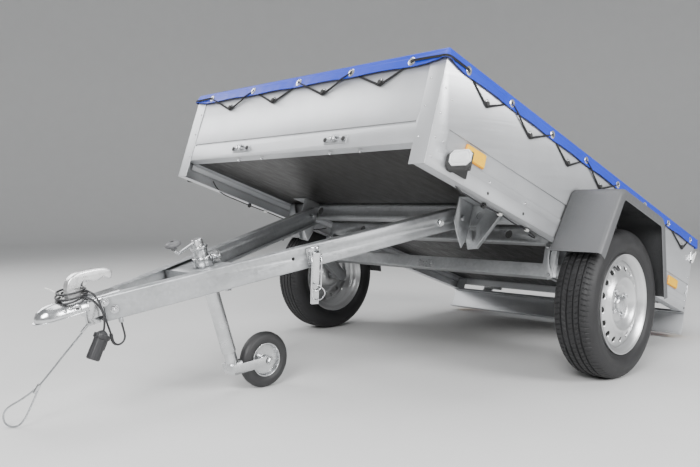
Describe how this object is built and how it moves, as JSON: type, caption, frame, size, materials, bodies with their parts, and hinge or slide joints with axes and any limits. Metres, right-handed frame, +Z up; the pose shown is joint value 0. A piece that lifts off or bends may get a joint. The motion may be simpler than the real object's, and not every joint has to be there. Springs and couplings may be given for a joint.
{
  "type": "utility trailer",
  "caption": "Low box trailer with a flat laced cover, a V-shaped drawbar and ball coupling, a swivelling jockey wheel, sprung road wheels under mudguards, and a bed that tips about the drawbar.",
  "frame": {"origin": "on the floor, midway between the left and right sides and between the front and rear ends of the rigid pieces", "axes": "+X to the trailer's left, +Y to its rear, +Z up"},
  "size_m": [1.74, 2.9376, 1.1094],
  "materials": {
    "zinc_sheet": "satin zinc-coated sheet, light grey",
    "zinc_dark": "galvanized section, mottled grey",
    "bright_zinc": "bright zinc plating",
    "rim_silver": "silver paint",
    "tyre_rubber": "black tyre rubber",
    "solid_rubber": "black solid rubber",
    "guard_plastic": "mid-grey moulded plastic",
    "grip_plastic": "dark grey plastic",
    "black_plastic": "black plastic",
    "lamp_plastic": "white lens on a black foot",
    "rear_lens": "red and amber lens",
    "plywood": "dark film-faced plywood",
    "cover_cloth": "saturated blue coated cloth",
    "rope_steel": "bright steel rope",
    "cable_jacket": "dark cable jacket"
  },
  "bodies": {
    "drawbar": {"beam_left": "zinc_dark", "beam_right": "zinc_dark", "coupling_head": "bright_zinc", "coupling_handle": "bright_zinc", "nose_plate": "zinc_dark", "jockey_tube": "bright_zinc", "jockey_crank": "bright_zinc", "crank_knob": "grip_plastic", "toggle_latch_left": "bright_zinc", "toggle_latch_right": "bright_zinc", "lead_coil": "cable_jacket", "lead_plug": "black_plastic", "lead_feed": "cable_jacket", "lead_drop": "cable_jacket", "safety_rope": "rope_steel"},
    "bed": {"side_panel_left": "zinc_sheet", "side_panel_right": "zinc_sheet", "front_wall": "zinc_sheet", "floor_board": "plywood", "cross_member_front": "zinc_dark", "cross_member_axle": "zinc_dark", "axle_beam": "zinc_dark", "pivot_bracket_left": "zinc_dark", "pivot_bracket_right": "zinc_dark", "suspension_arm_left": "zinc_dark", "suspension_arm_right": "zinc_dark", "mudguard_left": "guard_plastic", "mudguard_right": "guard_plastic", "lamp_board": "zinc_sheet", "rear_lamp_left": "rear_lens", "rear_lamp_right": "rear_lens", "marker_lamp_left": "lamp_plastic", "marker_lamp_right": "lamp_plastic", "cover": "cover_cloth", "cover_rear_flap": "cover_cloth"},
    "tailgate": {"tailgate": "zinc_sheet"},
    "wheel_left": {"tyre_left": "tyre_rubber", "rim_left": "rim_silver"},
    "wheel_right": {"tyre_right": "tyre_rubber", "rim_right": "rim_silver"},
    "jockey_nut": {"jockey_nut": "bright_zinc"},
    "jockey_leg": {"jockey_leg": "bright_zinc"},
    "jockey_wheel": {"jockey_tyre": "solid_rubber", "jockey_rim": "bright_zinc"}
  },
  "joints": [
    {"name": "bed_tilt", "type": "hinge", "parent": "drawbar", "child": "bed", "pos_m": [0, -0.08375, 0.58795], "axis": [1, 0, 0], "range_deg": [0, 30.49]},
    {"name": "wheel_left_spin", "type": "hinge", "parent": "bed", "child": "wheel_left", "pos_m": [0.773, 0.33787, 0.2735], "axis": [1, 0, 0], "continuous": true},
    {"name": "wheel_right_spin", "type": "hinge", "parent": "bed", "child": "wheel_right", "pos_m": [-0.773, 0.33787, 0.2735], "axis": [1, 0, 0], "continuous": true},
    {"name": "tailgate_hinge", "type": "hinge", "parent": "bed", "child": "tailgate", "pos_m": [0, 1.32593, 0.14284], "axis": [-1, 0, 0], "range_deg": [0, 90], "deforming": ["cover_rear_flap"]},
    {"name": "jockey_lift", "type": "slide", "parent": "drawbar", "child": "jockey_nut", "axis": [0, -0.2999, 0.954], "range_m": [-0.15, 0.038]},
    {"name": "jockey_swivel", "type": "hinge", "parent": "jockey_nut", "child": "jockey_leg", "pos_m": [0, -0.86461, 0.32559], "axis": [0, -0.2999, 0.954], "continuous": true},
    {"name": "jockey_wheel_spin", "type": "hinge", "parent": "jockey_leg", "child": "jockey_wheel", "pos_m": [0, -0.66204, 0.098], "axis": [1, 0, 0], "continuous": true}
  ]
}
